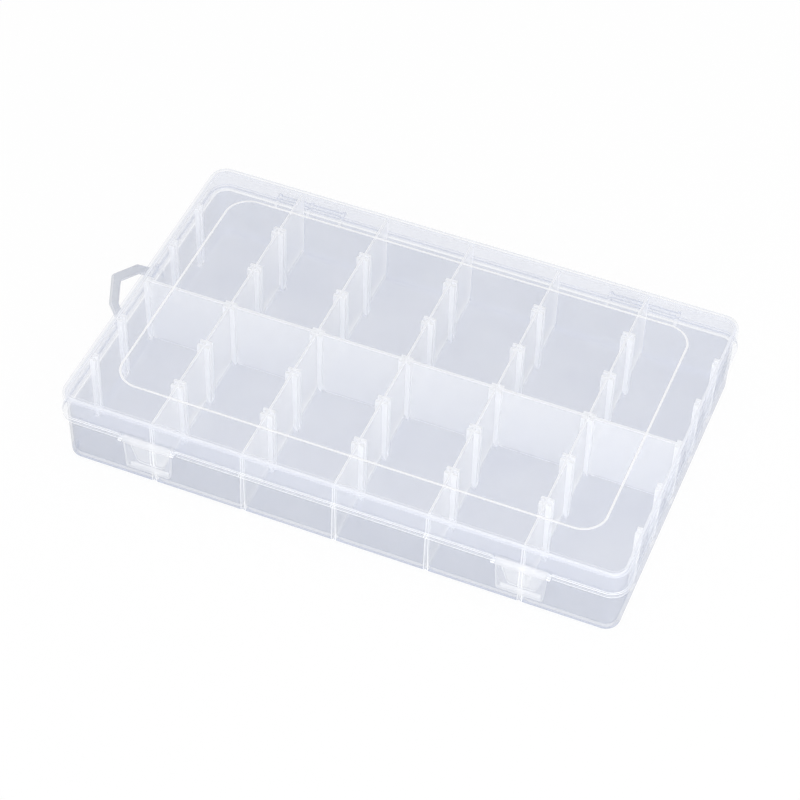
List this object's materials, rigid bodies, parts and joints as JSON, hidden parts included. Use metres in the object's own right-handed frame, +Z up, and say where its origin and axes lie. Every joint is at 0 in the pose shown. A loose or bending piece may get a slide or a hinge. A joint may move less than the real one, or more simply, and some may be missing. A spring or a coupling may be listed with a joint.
{
  "type": "compartment storage box",
  "caption": "Shallow translucent box with a hinged lid, front snap latches, fixed partitions, loose cross dividers in slots, and a swinging hanging loop on one end.",
  "frame": {"origin": "the middle of the tray's footprint, in the plane that its pans stand on, midway between its end walls and between its front and rear walls", "axes": "+X along the long side, away from the hanging loop; +Y from the latches to the hinges; +Z up, through the closed lid"},
  "size_m": [0.2898, 0.184, 0.0418],
  "materials": {
    "tray_plastic": "translucent milky polypropylene, as moulded, with a soft sheen",
    "lid_plastic": "translucent milky polypropylene, as moulded, with a soft sheen",
    "divider_plastic": "translucent milky polypropylene, more frosted than the box",
    "latch_plastic": "translucent milky polypropylene, as moulded, with a soft sheen",
    "loop_plastic": "translucent milky polypropylene, as moulded, with a soft sheen"
  },
  "bodies": {
    "tray": {"base_tray": "tray_plastic", "divider_1": "divider_plastic", "divider_2": "divider_plastic", "divider_3": "divider_plastic", "divider_4": "divider_plastic", "divider_5": "divider_plastic", "divider_6": "divider_plastic"},
    "lid": {"lid": "lid_plastic"},
    "latch_left": {"latch_left": "latch_plastic"},
    "latch_right": {"latch_right": "latch_plastic"},
    "loop": {"hang_loop": "loop_plastic"}
  },
  "joints": [
    {"name": "lid_hinge", "type": "hinge", "parent": "tray", "child": "lid", "pos_m": [0, 0.09065, 0.0276], "axis": [-1, 0, 0], "range_deg": [0, 180]},
    {"name": "latch_left_hinge", "type": "hinge", "parent": "lid", "child": "latch_left", "pos_m": [-0.0905, -0.0886, 0.029], "axis": [-1, 0, 0], "range_deg": [0, 150]},
    {"name": "latch_right_hinge", "type": "hinge", "parent": "lid", "child": "latch_right", "pos_m": [0.0905, -0.0886, 0.029], "axis": [-1, 0, 0], "range_deg": [0, 150]},
    {"name": "loop_hinge", "type": "hinge", "parent": "tray", "child": "loop", "pos_m": [-0.1394, 0, 0.0258], "axis": [0, 1, 0], "range_deg": [-126, 54]}
  ]
}
